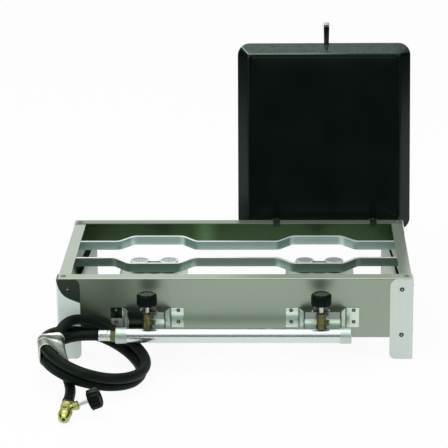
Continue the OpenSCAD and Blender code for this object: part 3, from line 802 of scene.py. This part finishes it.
for name, shade in (("left_valve_bracket", hat_shade_left), ("right_valve_bracket", hat_shade)):
    dress(sheet_metal(name + "_sheet", tone(216, 229, 218), 0.1, (70, 0.8, 0.8), 0, 0.35,
                      mark=shade, mark_colour=tone(22, 32, 24)), name)


# The taps: turned brass bodies screwed into the manifold, with a hexagon at the foot,
# a hexagon bonnet, a blanked side port, and a jet that points into the mixing tube.
manifold_line = (-45, 58.4)
brass = plain_metal("turned_brass", tone(184, 186, 112), 0.22, 2.5, 0.66)
tap_brass = plain_metal("tarnished_brass", tone(108, 110, 72), 0.3, 2.5, 0.5)
steel_rod = plain_metal("stem_steel", tone(186, 192, 188), 0.2, 2)


def flats(count, across, low, high):
    """Cuts count flats, across mm apart, between two heights of a turning."""
    def cut(angle, height, radius):
        if not low <= height <= high:
            return radius
        wedge = angle % (2 * math.pi / count) - math.pi / count
        return min(radius, across / 2 / math.cos(wedge))
    return cut


def threads(low, high, pitch, depth):
    """Cuts a screw thread between two heights of a turning."""
    def cut(angle, height, radius):
        if not low <= height <= high:
            return radius
        turn = (height / pitch - angle / (2 * math.pi)) % 1
        return radius - depth * abs(2 * turn - 1)
    return cut


def rows_between(low, high, radius, step):
    """Close rows of one radius, for a thread or a knurl."""
    count = round((high - low) / step)
    return [(low + (high - low) * i / count, radius) for i in range(count + 1)]


def add_turning(bm, foot, axis, rows, cuts=(), around=72):
    """A turned form: rows of (height, radius) along an axis from its foot."""
    turn = Vector(axis).to_track_quat("Z", "Y").to_matrix()
    rings = []
    for height, radius in rows:
        ring = []
        for k in range(around):
            angle = 2 * math.pi * k / around
            reach = radius
            for cut in cuts:
                reach = cut(angle, height, reach)
            spot = Vector((reach * math.cos(angle), reach * math.sin(angle), height))
            ring.append(Vector(foot) + turn @ spot)
        rings.append(ring)
    add_loft(bm, rings)


tap_seat = manifold_line[1] + 12.7
tap_rows = [
    (-5, 5), (0, 5), (0, 8.2), (0.5, 9), (6.5, 9), (7, 8), (7.4, 7.3), (7.8, 7.5), (12.4, 7.5),
    (12.8, 7.1), (13.6, 7.1), (14, 7.5), (20.4, 7.5), (21.4, 6.7), (22.4, 6.7), (22.4, 7.9),
    (22.9, 8.6), (26.5, 8.6), (27.4, 7.4), (27.9, 5.6), (28.9, 5.2), (28.9, 4.06), (20, 4.06),
]
boss_height, port_height = 83.5, 81.5
boss_rows = [(5, 5), (13.6, 5), (14, 4.6), (14, 3.05), (11, 3.05)]
port_rows = (
    [(6, 4.1), (8.2, 4.1)] + rows_between(8.4, 11.2, 4.4, 0.12)
    + [(11.3, 4.5), (13.2, 4.5), (13.6, 4.1), (13.6, 1.6), (13, 1.5)]
)
for name, side in (("left_valve_body", -1), ("right_valve_body", 1)):
    bm = bmesh.new()
    foot = (side * burner_x, manifold_line[0], tap_seat)
    add_turning(bm, foot, (0, 0, 1), tap_rows, (flats(6, 15.59, 0, 7), flats(6, 14.9, 22.4, 27.4)))
    port = (side * burner_x, manifold_line[0], port_height)
    add_turning(bm, port, (1, 0, 0), port_rows,
                (threads(8.3, 11.25, 0.8, 0.35), flats(6, 8.2, 11.3, 13.6)), 48)
    boss = (side * burner_x, manifold_line[0], boss_height)
    add_turning(bm, boss, (0, 1, 0), boss_rows, (), 48)
    tap = add_piece(name + "_turned", bm, tap_brass)
    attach(tap, "root")
    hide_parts(name)
dress(brass, "left_gas_jet", "right_gas_jet")
dress(steel_rod, "left_valve_stem", "right_valve_stem")


# The pop rivets: aluminium heads with the steel pin broken off in a hollow at the middle.
# Four hold each front leg, three each rear leg, and four each bracket.
leg_rivet = {"shank": 2.5, "head": 4, "rise": 1.6, "grip": 3.7}
leg_front, leg_rear, leg_side = -2.5, 332.5, 302.5
rivet_x, rivet_depths = 283, (20, 310)
upper_rivets, lower_rivets = 125.5, 43.8
bracket_rivet = {"shank": 2, "head": 3.3, "rise": 1.4, "grip": 2.7}
bracket_front, bracket_rivet_x, bracket_rivet_heights = -1.5, 53, (67, 87.8)
rivet_shape = [
    (0.12, 1), (0.5, 0.93), (0.82, 0.72), (0.97, 0.52), (0.9, 0.42),
    (0.45, 0.38), (0.3, 0.36),
]


def add_rivet(heads, pins, foot, axis, shank, head, rise, grip):
    """One rivet: the tail behind the sheets, the shank, the head and the pin in its hollow."""
    rows = [(-grip - 1, 0.3), (-grip - 1, shank * 1.25), (-grip, shank * 1.4), (-grip, shank)]
    rows += [(0, shank)] + [(rise * h, head * r) for h, r in rivet_shape]
    add_turning(heads, foot, axis, rows, (), 28)
    pin = [(0.2 * rise, head * 0.3), (0.72 * rise, head * 0.3), (0.82 * rise, head * 0.22)]
    add_turning(pins, foot, axis, pin, (), 16)


leg_heads, bracket_heads, pins = bmesh.new(), bmesh.new(), bmesh.new()
for side in (-1, 1):
    for height in (upper_rivets, lower_rivets):
        add_rivet(leg_heads, pins, (side * rivet_x, leg_front, height), (0, -1, 0), **leg_rivet)
        if height == upper_rivets:
            add_rivet(leg_heads, pins, (side * rivet_x, leg_rear, height), (0, 1, 0), **leg_rivet)
        for depth in rivet_depths:
            add_rivet(leg_heads, pins, (side * leg_side, depth, height), (side, 0, 0), **leg_rivet)
    for offset in (-bracket_rivet_x, bracket_rivet_x):
        for height in bracket_rivet_heights:
            foot = (side * bracket_x + offset, bracket_front, height)
            add_rivet(bracket_heads, pins, foot, (0, -1, 0), **bracket_rivet)
# The rivet heads' dark colour is a painted dark reflection on their domes.
rivet_metal = plain_metal("rivet_metal", tone(70, 80, 72), 0.34)
for name, bm in (("leg_rivets", leg_heads), ("bracket_rivets", bracket_heads)):
    rivets = add_piece(name + "_popped", bm, rivet_metal)
    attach(rivets, "root")
    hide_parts(name)
pin_steel = plain_metal("rivet_pin_steel", tone(214, 222, 216), 0.3, 1, 0.82, 0.4)
rivet_pins = add_piece("rivet_pins", pins, pin_steel)
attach(rivet_pins, "root")


# The knobs: moulded black plastic with twelve finger flutes, a bevelled top edge and a dish.
# Each is pushed on the stem of its tap and turns with it.
knob_radius, knob_flutes = 17, 12
knob_foot, knob_tall = 113.7, 19.9


def moulded_black(name):
    """Black plastic with a fine moulded grain, rubbed a little paler in patches, painted light on
    top.
    """
    finish = Finish(name)
    fine = finish.grain(0.5, 2)
    rubbed = finish.ramp(finish.grain(9, 3), (0.45, 0), (0.75, 1))
    painted_top_light = finish.ramp(facing(finish, "Z"), (0.8, 0), (0.98, 1))
    return finish.surface(
        finish.mix(painted_top_light, finish.mix(rubbed, tone(3, 8, 4), tone(14, 21, 16)), tone(66, 78, 66)),
        0.36 + 0.14 * fine - 0.06 * rubbed, relief=fine, depth=0.03, Specular_IOR_Level=0.1,
        Specular_Tint=(0.75, 1, 0.8, 1),
    )


def finger_flutes(angle, height, radius):
    """Shallow round flutes in the knob's skirt."""
    pitch = 2 * math.pi / knob_flutes
    off = abs((angle + pitch / 2) % pitch - pitch / 2)
    near = abs(pitch / 2 - off) * knob_radius / 2.6
    return radius - max(0.0, min(radius - 13, 1)) * max(0.0, 1 - near**2)


def add_knob(bm, foot, axis, tall):
    """A knob: its skirt, the bevel, the flat edge, and the dish with a low boss in the middle."""
    rows = [
        (0, 3.0), (0, 14.5), (0, 16.0), (0.3, 16.7), (1, 17),
        (tall - 3.4, 17), (tall - 2.8, 16.75), (tall - 0.5, 14.4), (tall - 0.1, 13.7),
        (tall, 13.2), (tall, 11.4), (tall - 0.2, 10.9), (tall - 1.3, 10.2),
        (tall - 1.5, 9.7), (tall - 1.5, 3.4), (tall - 1.2, 3.0), (tall - 1.2, 0.3),
    ]
    add_turning(bm, foot, axis, rows, (finger_flutes,), 144)


knob_black = moulded_black("knob_plastic")
for name, side, body in (("left_knob", -1, "left_tap"), ("right_knob", 1, "right_tap")):
    bm = bmesh.new()
    add_knob(bm, (side * burner_x, manifold_line[0], knob_foot), (0, 0, 1), knob_tall)
    knob = add_piece(name + "_fluted", bm, knob_black, crease=50)
    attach(knob, body)
    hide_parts(name)


# The manifold: a zinc-plated tube, 25 mm thick, that runs along the front of the stove, with
# a duller cap sleeved over each end.
manifold_zinc = sheet_metal("manifold_zinc", tone(214, 226, 224), 0.21, (140, 2, 2), 0.1, 0.12)
dress(manifold_zinc, "manifold_tube")
cap_metal = plain_metal("cap_metal", tone(196, 213, 202), 0.34, 2.5, 0.88, 0.4)
dress(cap_metal, "left_manifold_cap", "right_manifold_cap")


# The inlet: a brass hexagon screwed into the manifold's left cap, and a bright ferrule that
# is crimped on the hose.
nut_x, ferrule_x = -200, -208
nut_rows = [(0, 6), (0, 9.4), (0.9, 11), (7.2, 11), (8, 9.5), (8, 4)]
bm = bmesh.new()
add_turning(bm, (nut_x, *manifold_line), (-1, 0, 0), nut_rows, (flats(6, 19.05, 0, 8),))
nut = add_piece("inlet_hexagon", bm, tap_brass)
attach(nut, "root")
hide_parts("inlet_nut")

ferrule_rows = (
    [(0, 4.6), (0, 8.7), (0.5, 9.4), (3.6, 9.5), (4.3, 9), (5.2, 8.9), (5.8, 9.3), (6.2, 9.5)]
    + rows_between(6.6, 11, 9.5, 0.4) + [(11.6, 9.1), (12.2, 9.1)]
    + rows_between(12.8, 17.4, 9.5, 0.4) + [(18, 9.5), (20, 9.5), (20.4, 9.1), (20.4, 8.2)]
)
bm = bmesh.new()
add_turning(bm, (ferrule_x, *manifold_line), (-1, 0, 0), ferrule_rows,
            (flats(8, 18.1, 6.6, 11), flats(8, 18.1, 12.8, 17.4)), 96)
ferrule_metal = plain_metal("ferrule_metal", tone(220, 228, 224), 0.22, 2, 0.82, 0.4)
ferrule = add_piece("crimped_ferrule", bm, ferrule_metal)
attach(ferrule, "root")
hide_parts("hose_ferrule")


# The band: a strip of metal foil, 42 mm wide, folded tight round three strands of the coil.
# Its edges are rolled, its face is creased, and one end laps over the other.
band_rear, band_width = -92, 42
band_left = -325.8
band_steps, band_rows = 180, 36


def strands_at(depth):
    """Where the hose crosses a plane through the band, as (x, z), and how it slants there."""
    strands = []
    for a, b in zip(hose_line, hose_line[1:]):
        if (a.y - depth) * (b.y - depth) <= 0 and a.x < -262:
            spot = a.lerp(b, (depth - a.y) / (b.y - a.y))
            strands.append((spot.xz, (b - a).xz / (b.y - a.y)))
    return strands


def band_outline(depth):
    """The tight outline round the three strands at one depth."""
    strands = strands_at(depth)
    loose = []
    for k in range(360):
        a = math.radians(k)
        out = Vector((math.cos(a), math.sin(a)))
        reaches = []
        for spot, slant in strands:
            lean = slant.dot(out)
            stretch = math.sqrt(1 + lean**2)
            edge = (out + slant * lean) / stretch
            reaches.append((spot.dot(out) + hose_radius * stretch, spot, edge))
        reach, spot, edge = max(reaches, key=lambda r: r[0])
        loose.append(spot + hose_radius * edge + out)
    lengths = [0.0]
    for a, b in zip(loose, loose[1:] + loose[:1]):
        lengths.append(lengths[-1] + (b - a).length)
    points, k = [], 0
    for i in range(band_steps):
        want = lengths[-1] * i / band_steps
        while lengths[k + 1] < want:
            k += 1
        share = (want - lengths[k]) / (lengths[k + 1] - lengths[k])
        points.append(loose[k].lerp(loose[(k + 1) % 360], share))
    return points


def band_relief(i, t):
    """How far the foil stands off: rolled edges, a long crease, dents and the lapped end."""
    turn = i / band_steps
    edge = 0.55 * math.exp(-((t / 0.05) ** 2)) + 0.55 * math.exp(-(((1 - t) / 0.05) ** 2))
    crease = 0.5 * math.exp(-(((t - 0.27 - 0.05 * math.sin(9 * turn)) / 0.035) ** 2))
    crumple = 0.45 * noise.noise(Vector((turn * 16, t * 4.5, 3))) + 0.3 * noise.noise(
        Vector((turn * 38, t * 9, 7)))
    lap = 0.55 if 0.60 < turn + 0.16 * t < 0.86 else 0.0
    return 0.3 + edge + crease + crumple * 0.6 + lap


rings, inner = [], []
for row in range(band_rows + 1):
    t = row / band_rows
    depth = band_rear - band_width * t
    outline = band_outline(depth)
    ring, under = [], []
    for i, p in enumerate(outline):
        ahead = (outline[(i + 1) % band_steps] - outline[i - 1]).normalized()
        out = Vector((ahead.y, -ahead.x))
        far = p + out * band_relief(i, t)
        sway = 0.5 * noise.noise(Vector((i * 0.09, t * 2, 1)))
        ring.append((max(far.x, band_left), depth + sway, far.y))
        under.append((p.x - out.x * 0.05, depth + sway, p.y - out.y * 0.05))
    rings.append(ring)
    inner.append(under)
bm = bmesh.new()
add_loft(bm, rings + inner[::-1] + rings[:1], ends=False)
bmesh.ops.remove_doubles(bm, verts=bm.verts, dist=0.001)
foil = Finish("band_metal")
foil_creases = foil.grain((4, 9, 3), 5, 0.7, 2)
foil_dull = foil.ramp(foil.grain(14, 4), (0.42, 0), (0.66, 1))
foil_wave = foil.grain(9, 2)
from_rear = along(foil, "Y") + (middle_y - band_rear)
foil_t = from_rear * (-1 / band_width) + 0.05 * (foil_wave - 0.5)
# Across its width the foil is painted bright along both rolled edges and one crease, painted
# highlights, and dark between them, a painted dark reflection.
foil_metal = foil.surface(
    foil.mix(
        foil.ramp(foil_t, (0.03, 1), (0.09, 1), (0.11, 0.1), (0.3, 0.06), (0.37, 0.75), (0.4, 0.7),
                  (0.44, 0.35), (0.93, 0.45), (0.96, 0.9)),
        foil.mix(foil_dull, tone(52, 62, 48), tone(34, 44, 34)),
        foil.mix(foil_dull, tone(238, 244, 228), tone(214, 224, 204)),
    ),
    0.22 + 0.2 * foil_dull, metal=0.85, relief=foil_creases, depth=0.5,
)
band = add_piece("coil_band_foil", bm, foil_metal)
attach(band, "root")
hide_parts("coil_strap")


# The hose's far end: a ribbed rubber sleeve, a turned brass valve with its spindle set
# across it, and a hexagon nut with a threaded nose that screws into a gas cylinder.
end_foot = (-263.5, -221, 12)
end_axis = (0, -1, 0)
spindle_foot = (-263.5, -255, 12)
spindle_axis = (math.cos(math.radians(22)), 0, math.sin(math.radians(22)))
spindle_reach, cylinder_knob_tall = 41, 18

sleeve_rows = [(0, 8.6), (0, 9.1), (0.7, 9.7)]
for groove in (2.6, 5.2, 7.8):
    sleeve_rows += [(groove, 9.8), (groove + 0.35, 9.3), (groove + 0.85, 9.3), (groove + 1.2, 9.8)]
sleeve_rows += [(13.2, 9.8), (14, 9.2), (14, 4.6)]
bm = bmesh.new()
add_turning(bm, end_foot, end_axis, sleeve_rows)
sleeve = add_piece(
    "hose_end_sleeve_ribbed", bm, rubber("sleeve_rubber", tone(11, 15, 13), tone(40, 47, 43))
)
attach(sleeve, "root")
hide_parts("hose_end_sleeve")

valve_rows = [
    (13, 4.5), (14, 8.6), (14.6, 9.3), (15.2, 9.6), (25.4, 9.6), (26, 9.3), (26.6, 8.7),
    (27.8, 8.7), (28.4, 9.4), (29, 10.2), (29.4, 10.4), (30.8, 10.4), (31.2, 10.2), (31.8, 9.5),
    (43.6, 9.4), (44.4, 9), (45, 8.4), (45, 3),
]
branch_rows = [
    (4, 5.5), (13, 5.5), (13.4, 5.2), (14, 5.2), (14, 6.6), (14.6, 7.4), (20.6, 7.4),
    (21.4, 6.5), (22, 5.2), (22, 3.1), (17, 3.1),
]
bm = bmesh.new()
add_turning(bm, end_foot, end_axis, valve_rows)
add_turning(bm, spindle_foot, spindle_axis, branch_rows, (flats(6, 12.8, 14, 22),))
cylinder_valve = add_piece("cylinder_valve_turned", bm, brass)
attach(cylinder_valve, "root")
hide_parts("cylinder_valve_body")

nose_rows = (
    [(45, 5), (45, 10), (45.8, 11.7), (56, 11.7), (57, 10), (57, 9.2), (57.8, 8.9)]
    + rows_between(58, 69.8, 9.5, 0.22)
    + [(70, 8.8), (71, 8.6), (75.4, 5.9), (76, 5.3), (76, 2.7), (68, 2.7)]
)
bm = bmesh.new()
add_turning(bm, end_foot, end_axis, nose_rows,
            (flats(6, 20.3, 45, 57), threads(58, 69.8, 1.75, 0.75)), 96)
cylinder_nut = add_piece("cylinder_nut_threaded", bm, brass)
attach(cylinder_nut, "root")
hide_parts("cylinder_valve_nut")

dress(steel_rod, "cylinder_valve_spindle")
bm = bmesh.new()
knob_spot = Vector(spindle_foot) + spindle_reach * Vector(spindle_axis)
add_knob(bm, knob_spot, spindle_axis, cylinder_knob_tall)
cylinder_knob = add_piece("cylinder_knob_fluted", bm, knob_black, crease=50)
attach(cylinder_knob, "cylinder_tap")
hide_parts("cylinder_valve_knob")


# The griddle: a shallow tray pressed from 2 mm steel and enamelled black. It stands open,
# leaning back, and shows its underside; a shallow groove runs inside the pressed edge.
hinge_lean = math.radians(11.5)
hinge_axis = (0, 334.5, 142.5)
griddle_place = (
    frame_place @ Matrix.Translation(hinge_axis) @ Matrix.Rotation(-hinge_lean, 4, "X")
)
pan_low, pan_high = Vector((-1, -20.5)), Vector((316, 324.5))
pan_outside = [
    (62, 5.3), (27, 5.3), (26, 5.45), (24.6, 5.75), (23.2, 5.45), (22.2, 5.3), (21.2, 5.3),
    (19.9, 5.5), (18.6, 6.05), (17.4, 6.95), (15.9, 8.2), (10.4, 13.1), (4.4, 18.45), (2, 20.65),
    (0.9, 21.6), (0.15, 22), (0, 22.2), (0.2, 22.3),
]
pan_inside = [
    (2.2, 22.3), (2.7, 22.1), (4, 21.2), (10.8, 15.6), (17.6, 9.5), (20, 7.9), (22, 7.3), (62, 7.3),
]


def pan_loop(inset, depth):
    """One loop round the tray: a rectangle whose corners tighten towards the base."""
    radius = 22 - 13 * min(inset, 19) / 19 - 0.6 * max(0, min(inset - 19, 8))
    low, high = pan_low + Vector((inset, inset)), pan_high - Vector((inset, inset))
    ring = []
    for i, (sx, sz) in enumerate(((1, 1), (-1, 1), (-1, -1), (1, -1))):
        x = (high.x if sx > 0 else low.x) - sx * radius
        z = (high.y if sz > 0 else low.y) - sz * radius
        for k in range(11):
            a = math.pi / 2 * (i + k / 10)
            ring.append((x + radius * math.cos(a), depth, z + radius * math.sin(a)))
    return ring


bm = bmesh.new()
add_loft(bm, [pan_loop(*row) for row in pan_outside + pan_inside])
enamel = Finish("black_enamel")
orange_peel = enamel.grain(2.6, 2)
enamel_fleck = enamel.ramp(enamel.grain(0.9, 2), (0.66, 0), (0.74, 1))
enamel_haze = enamel.grain((60, 60, 90), 3)
enamel_height = along(enamel, "Z")
from_left = along(enamel, "X") + (middle_x - pan_low.x)
fold_height, pan_width = 440.6, 317
# Painted highlights: a pale line along the fold under the top band, fading to the right, and one
# along the top left mitre; the top band above them is painted paler in mottled patches.
fold_line = enamel.ramp((enamel_height - fold_height).size() * 0.6, (0, 0.5), (1, 0))
fold_fade = enamel.ramp(from_left * (1 / pan_width), (0.42, 1), (0.66, 0.15))
past_mitre = enamel_height - 456 + 0.8 * from_left
mitre_line = enamel.ramp(past_mitre.size() * 0.6, (0, 1), (1, 0)) * (20 - from_left > 0)
# A mottle for the top band's painted light.
dust_and_sheen = enamel.ramp(enamel.grain(7, 4, 0.7), (0.3, 0.06), (0.75, 0.17))
top_band_light = (enamel_height > fold_height + 0.9) * (past_mitre > 0) * dust_and_sheen
painted_edge_highlights = fold_line * fold_fade * (past_mitre > 0) + mitre_line + top_band_light
enamel_black = enamel.surface(
    enamel.mix(
        painted_edge_highlights,
        enamel.mix(0.6 * enamel_haze + 0.3 * enamel_fleck, tone(4, 10, 8), tone(15, 25, 20)),
        tone(156, 186, 170),
    ),
    0.16 + 0.1 * enamel_haze + 0.1 * enamel_fleck, relief=orange_peel + 0.2 * enamel_fleck,
    depth=0.06, Specular_IOR_Level=0.32, Specular_Tint=(0.78, 1, 0.88, 1),
)
pan = add_piece("griddle_pan_pressed", bm, enamel_black, griddle_place, 60)
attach(pan, "griddle")
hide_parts("griddle_pan")
dress(enamel_black, "griddle_hinge_straps")


# The lift handle: a flat strap, tapered where it is welded to the tray's slanted edge, with
# a hooked end painted pale and metallic on top, a painted highlight.
handle_line = [
    (9.4, 311.8), (17.2, 320.6), (18.5, 325.5), (18.5, 358.2), (21.2, 360.5), (36.2, 360.5),
]
handle_thick, handle_middle = 3, 162
hook_highlight_above = 489
line = round_bends([Vector(p) for p in handle_line], 1.6, 4)
rings = []
for i, spot in enumerate(line):
    ahead = heading(line, i)
    aside = Vector((-ahead.y, ahead.x))
    foot = min(max((spot.y - handle_line[0][1]) / 18, 0), 1)
    half = 1.8 + 3.5 * foot if spot.x < 20 else 5.3
    rings.append([
        (handle_middle + u, spot.x + aside.x * v, spot.y + aside.y * v)
        for u, v in rounded_box(2 * half, handle_thick, 0.6)
    ])
bm = bmesh.new()
add_loft(bm, rings)
strap_paint = Finish("handle_enamel")
hook_edge_noise = strap_paint.grain(2.2, 4, 0.6)
# Above a ragged line the hook is painted pale and metallic: a painted highlight on its top.
hook_top_highlight = (along(strap_paint, "Z") + 6 * hook_edge_noise) > hook_highlight_above
strap_skin = strap_paint.grain(1.2, 2)
handle_enamel = strap_paint.surface(
    strap_paint.mix(hook_top_highlight, tone(8, 14, 11), tone(158, 164, 158)),
    0.26 + 0.12 * strap_skin, metal=hook_top_highlight, relief=strap_skin, depth=0.05, Specular_IOR_Level=0.25,
)
handle = add_piece("griddle_handle_hooked", bm, handle_enamel, griddle_place)
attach(handle, "griddle")
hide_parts("griddle_handle")

bm = bmesh.new()
add_bead(bm, (handle_middle - 6, 8.6, 309.6), (handle_middle + 7, 8.2, 309.2), 1.5, 7)
bare_weld = plain_metal("bare_weld", tone(108, 118, 110), 0.35, 1.6, 0.4)
handle_weld = add_piece("handle_weld_beads", bm, bare_weld, griddle_place)
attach(handle_weld, "griddle")


# The hinge: dark steel clips folded over the rear flange, and the pins that hold the griddle's
# straps to them.
hinge_steel = plain_metal("hinge_steel", tone(44, 54, 46), 0.36, 3, 0.7, 0.3)
dress(hinge_steel, "hinge_clips", "hinge_pins")
